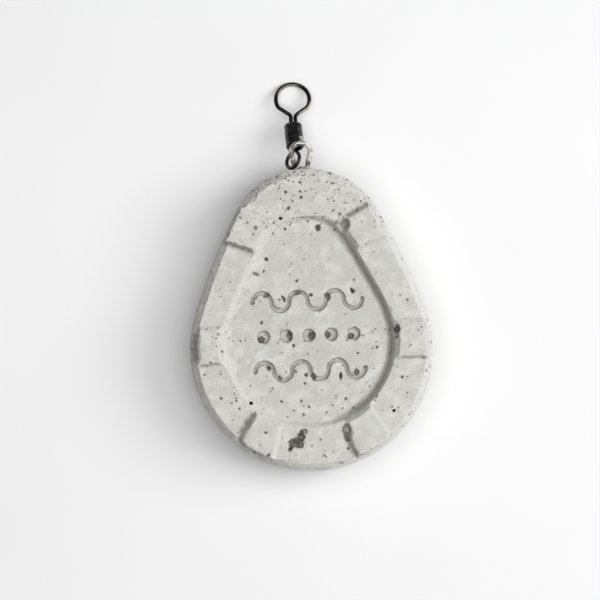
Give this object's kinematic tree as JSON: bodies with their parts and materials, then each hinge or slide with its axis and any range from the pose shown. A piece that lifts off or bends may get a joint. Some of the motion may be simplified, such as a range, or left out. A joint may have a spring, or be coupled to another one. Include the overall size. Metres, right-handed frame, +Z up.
{
  "type": "fishing sinker with swivel",
  "caption": "Egg-shaped cast concrete fishing weight with a raised padded rim, a wire loop in its narrow end and a barrel swivel with a large line eye",
  "frame": {"origin": "on the flat back face, under the centre of the broad lower end of the casting", "axes": "+X to the right across the casting, +Y from the broad end to the narrow end and the swivel, +Z up out of the face with the panel; the sinker lies on its back at z = 0"},
  "size_m": [0.0556, 0.0897, 0.016],
  "materials": {
    "concrete": "matte fine concrete with small open pores and faint slanting mould lines",
    "loop_wire": "drawn steel wire, partly covered in a thin film of cement",
    "eye_wire": "steel wire with a dark, semi-gloss plating",
    "barrel_shell": "rolled shell with a dark, semi-gloss plating and fine scratches"
  },
  "bodies": {
    "sinker": {"cast_body": "concrete", "wire_loop": "loop_wire"},
    "link": {"link_eye": "eye_wire"},
    "barrel": {"swivel_barrel": "barrel_shell"},
    "line": {"line_eye": "eye_wire"}
  },
  "joints": [
    {"name": "link_swing", "type": "hinge", "parent": "sinker", "child": "link", "pos_m": [-0.00235, 0.04381, 0.00827], "axis": [0, 0, 1], "range_deg": [-45, 5]},
    {"name": "barrel_spin", "type": "hinge", "parent": "link", "child": "barrel", "pos_m": [-0.00172, 0.04639, 0.00669], "axis": [-0.0436, 0.9236, -0.3808], "continuous": true},
    {"name": "line_spin", "type": "hinge", "parent": "barrel", "child": "line", "pos_m": [-0.00194, 0.05097, 0.0048], "axis": [0.0226, 0.9244, -0.3808], "continuous": true}
  ]
}
